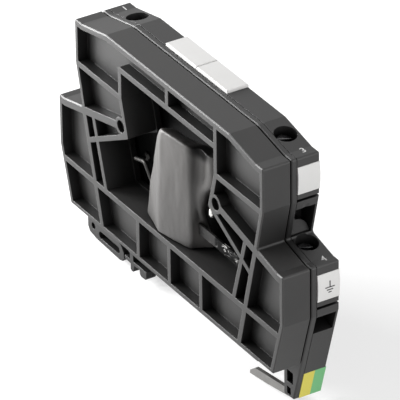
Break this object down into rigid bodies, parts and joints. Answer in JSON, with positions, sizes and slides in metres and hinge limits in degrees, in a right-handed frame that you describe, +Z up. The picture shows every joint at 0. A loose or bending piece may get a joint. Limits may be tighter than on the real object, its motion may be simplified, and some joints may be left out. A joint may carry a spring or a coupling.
{
  "type": "din rail surge arrester",
  "caption": "Slim two-tier surge arrester for a mounting rail: open ribbed frame round a wrapped block, closed housing with screw clamps, label plates and earth foot.",
  "frame": {"origin": "middle of the rail seat, half way through the width", "axes": "+X across the rail from the spring foot to the earth post, +Y along the rail from the ribbed side to the plain side, +Z up from the rail"},
  "size_m": [0.082, 0.0124, 0.0572],
  "materials": {
    "black_plastic": "fine satin",
    "board_black": "dull lacquer",
    "sleeve_grey": "satin shrunk film",
    "varistor_coat": "dipped epoxy",
    "tube_metal": "plated",
    "tinned_copper": "tinned",
    "tinned_steel": "tinned sheet",
    "zinc_steel": "zinc plated",
    "component_black": "moulded",
    "marker_white": "satin",
    "field_yellow": "printed",
    "field_green": "printed"
  },
  "bodies": {
    "housing": {"ribbed_frame": "black_plastic", "side_cover": "black_plastic", "terminal_housing": "black_plastic", "circuit_board": "board_black", "heat_shrink_sleeve": "sleeve_grey", "varistor_lower": "varistor_coat", "varistor_upper": "varistor_coat", "gas_discharge_tube": "tube_metal", "varistor_lead": "tinned_copper", "gas_tube_lead": "tinned_copper", "link_strip": "tinned_copper", "earth_contact": "tinned_steel", "suppressor_diode_left": "component_black", "suppressor_diode_right": "component_black", "decoupling_resistor_left": "component_black", "decoupling_resistor_right": "component_black", "earth_field_yellow": "field_yellow", "earth_field_green": "field_green", "top_marker_1": "marker_white", "top_marker_2": "marker_white", "end_marker_1": "marker_white", "current_bar_1": "tinned_copper", "end_marker_2": "marker_white", "current_bar_2": "tinned_copper", "end_marker_3": "marker_white", "current_bar_3": "tinned_copper", "end_marker_4": "marker_white", "current_bar_4": "tinned_copper"},
    "screw_1": {"clamp_screw_1": "zinc_steel"},
    "yoke_1": {"clamp_yoke_1": "zinc_steel"},
    "screw_2": {"clamp_screw_2": "zinc_steel"},
    "yoke_2": {"clamp_yoke_2": "zinc_steel"},
    "screw_3": {"clamp_screw_3": "zinc_steel"},
    "yoke_3": {"clamp_yoke_3": "zinc_steel"},
    "screw_4": {"clamp_screw_4": "zinc_steel"},
    "yoke_4": {"clamp_yoke_4": "zinc_steel"}
  },
  "joints": [
    {"name": "screw_1_turn", "type": "hinge", "parent": "housing", "child": "screw_1", "pos_m": [-0.02598, 0.00345, 0.03925], "axis": [0.2334, 0, -0.9724], "range_deg": [0, 2160]},
    {"name": "yoke_1_lift", "type": "slide", "parent": "housing", "child": "yoke_1", "axis": [-0.2334, 0, 0.9724], "range_m": [0, 0.003]},
    {"name": "screw_2_turn", "type": "hinge", "parent": "housing", "child": "screw_2", "pos_m": [-0.03328, 0.00345, 0.01956], "axis": [0.2334, 0, -0.9724], "range_deg": [0, 2160]},
    {"name": "yoke_2_lift", "type": "slide", "parent": "housing", "child": "yoke_2", "axis": [-0.2334, 0, 0.9724], "range_m": [0, 0.003]},
    {"name": "screw_3_turn", "type": "hinge", "parent": "housing", "child": "screw_3", "pos_m": [0.02098, 0.00345, 0.03925], "axis": [-0.2334, 0, -0.9724], "range_deg": [0, 2160]},
    {"name": "yoke_3_lift", "type": "slide", "parent": "housing", "child": "yoke_3", "axis": [0.2334, 0, 0.9724], "range_m": [0, 0.003]},
    {"name": "screw_4_turn", "type": "hinge", "parent": "housing", "child": "screw_4", "pos_m": [0.02828, 0.00345, 0.01956], "axis": [-0.2334, 0, -0.9724], "range_deg": [0, 2160]},
    {"name": "yoke_4_lift", "type": "slide", "parent": "housing", "child": "yoke_4", "axis": [0.2334, 0, 0.9724], "range_m": [0, 0.003]}
  ],
  "couplings": [
    {"joint": "screw_1_turn", "follows": "yoke_1_lift", "rad_per_m": 12566},
    {"joint": "screw_2_turn", "follows": "yoke_2_lift", "rad_per_m": 12566},
    {"joint": "screw_3_turn", "follows": "yoke_3_lift", "rad_per_m": 12566},
    {"joint": "screw_4_turn", "follows": "yoke_4_lift", "rad_per_m": 12566}
  ]
}
